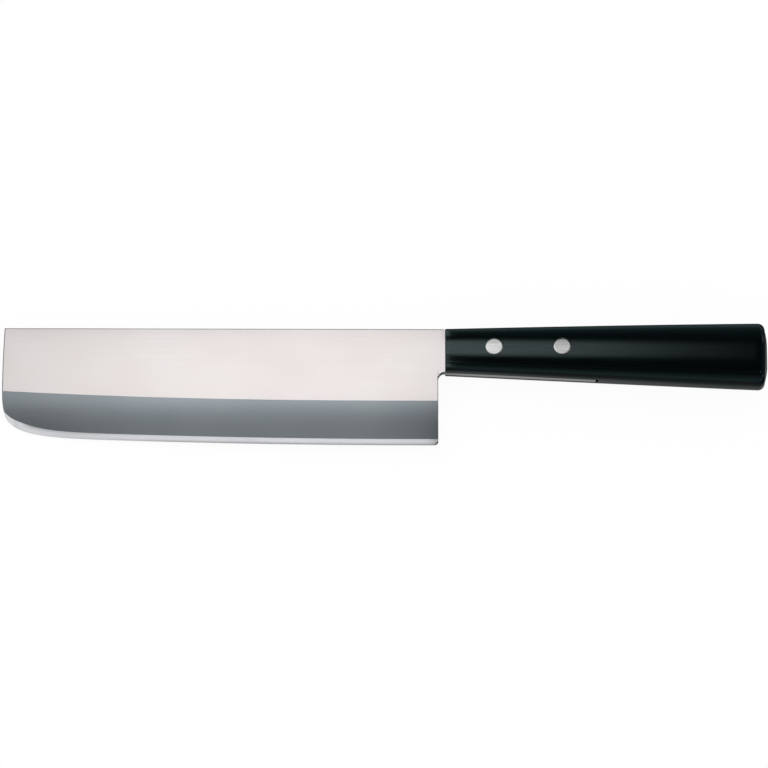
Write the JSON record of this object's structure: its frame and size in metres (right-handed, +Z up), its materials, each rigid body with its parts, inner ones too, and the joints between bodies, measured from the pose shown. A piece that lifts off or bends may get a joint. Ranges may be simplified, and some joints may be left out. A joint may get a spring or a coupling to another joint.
{
  "type": "vegetable knife",
  "caption": "Kitchen vegetable knife: tall straight-edged blade with a squared tip and rounded lower corner, and a half tang held in a slotted black handle by flush rivets.",
  "frame": {"origin": "on the table, under the middle of the knife's box as it lies on its side", "axes": "+X from the tip to the butt, +Y from the cutting edge to the spine, +Z up from the table; the blade leans a few degrees out of the XY plane, as the knife rests on its tip and handle"},
  "size_m": [0.2896, 0.0472, 0.0193],
  "materials": {
    "blade_steel": "stainless steel, finely brushed along the blade, with a darker ground bevel and a bright honed edge",
    "handle_wood": "black resin-filled laminated wood, sanded and polished to a soft gloss",
    "rivet_steel": "stainless steel rivet heads, ground flush with the handle"
  },
  "bodies": {
    "root": {"blade": "blade_steel", "handle": "handle_wood", "rivet_front_male": "rivet_steel", "rivet_front_female": "rivet_steel", "rivet_rear_male": "rivet_steel", "rivet_rear_female": "rivet_steel"}
  },
  "joints": []
}
